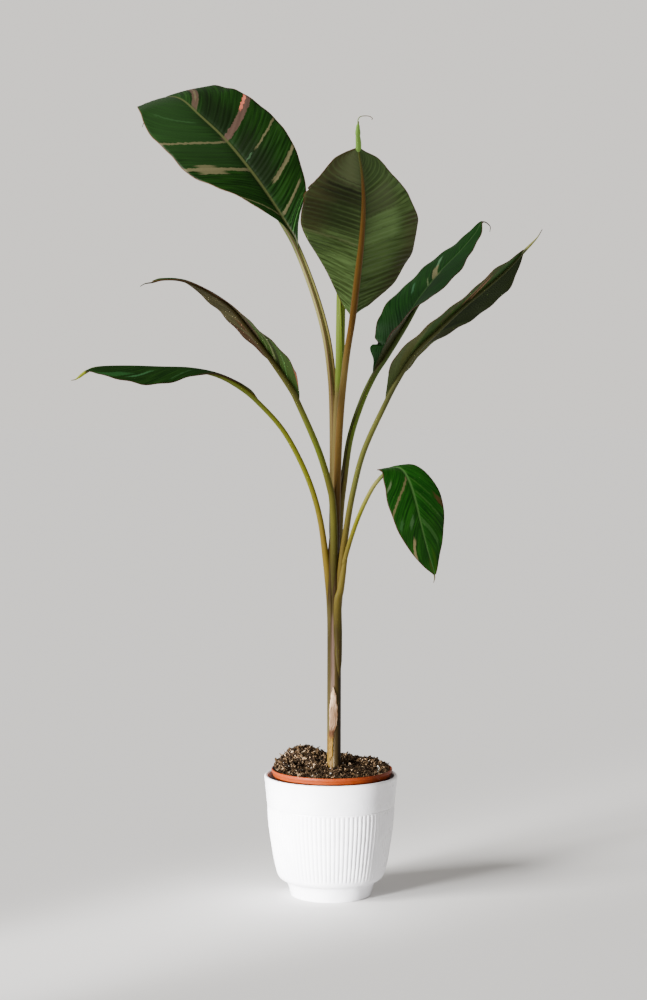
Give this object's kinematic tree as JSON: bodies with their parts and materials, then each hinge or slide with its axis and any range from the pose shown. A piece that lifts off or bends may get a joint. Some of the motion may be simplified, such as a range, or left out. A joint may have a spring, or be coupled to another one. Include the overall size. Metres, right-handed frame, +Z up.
{
  "type": "potted banana plant",
  "caption": "Young variegated banana plant with broad leaves on a sheathed stem, in a nursery pot standing in a ribbed white cover pot.",
  "frame": {"origin": "centre of the cover pot's flat foot, on the surface it stands on", "axes": "+Z up along the plant; -Y towards the viewer of the picture; +X to that viewer's right"},
  "size_m": [0.7065, 0.6727, 1.2987],
  "materials": {
    "white_glaze": "satin white glaze",
    "terracotta_plastic": "orange-brown moulded plastic, satin",
    "compost": "coarse dark crumbs",
    "stem_sheaths": "olive-brown leaf sheaths, satin",
    "dry_sheath": "dry and papery",
    "rolled_leaf": "light green, satin",
    "leaf_stalk": "olive, satin",
    "leaf_blade": "dark green with pale variegation above, bronze below, softly glossy"
  },
  "bodies": {
    "root": {"cover_pot": "white_glaze", "nursery_pot": "terracotta_plastic", "potting_soil": "compost", "pseudostem": "stem_sheaths", "dry_sheath": "dry_sheath", "rolled_leaf": "rolled_leaf", "leaf_1_stalk": "leaf_stalk", "leaf_2_stalk": "leaf_stalk", "leaf_3_stalk": "leaf_stalk", "leaf_4_stalk": "leaf_stalk", "leaf_5_stalk": "leaf_stalk", "leaf_6_stalk": "leaf_stalk", "leaf_7_stalk": "leaf_stalk", "leaf_1_blade": "leaf_blade", "leaf_2_blade": "leaf_blade", "leaf_3_blade": "leaf_blade", "leaf_4_blade": "leaf_blade", "leaf_5_blade": "leaf_blade", "leaf_6_blade": "leaf_blade", "leaf_7_blade": "leaf_blade"}
  },
  "joints": []
}
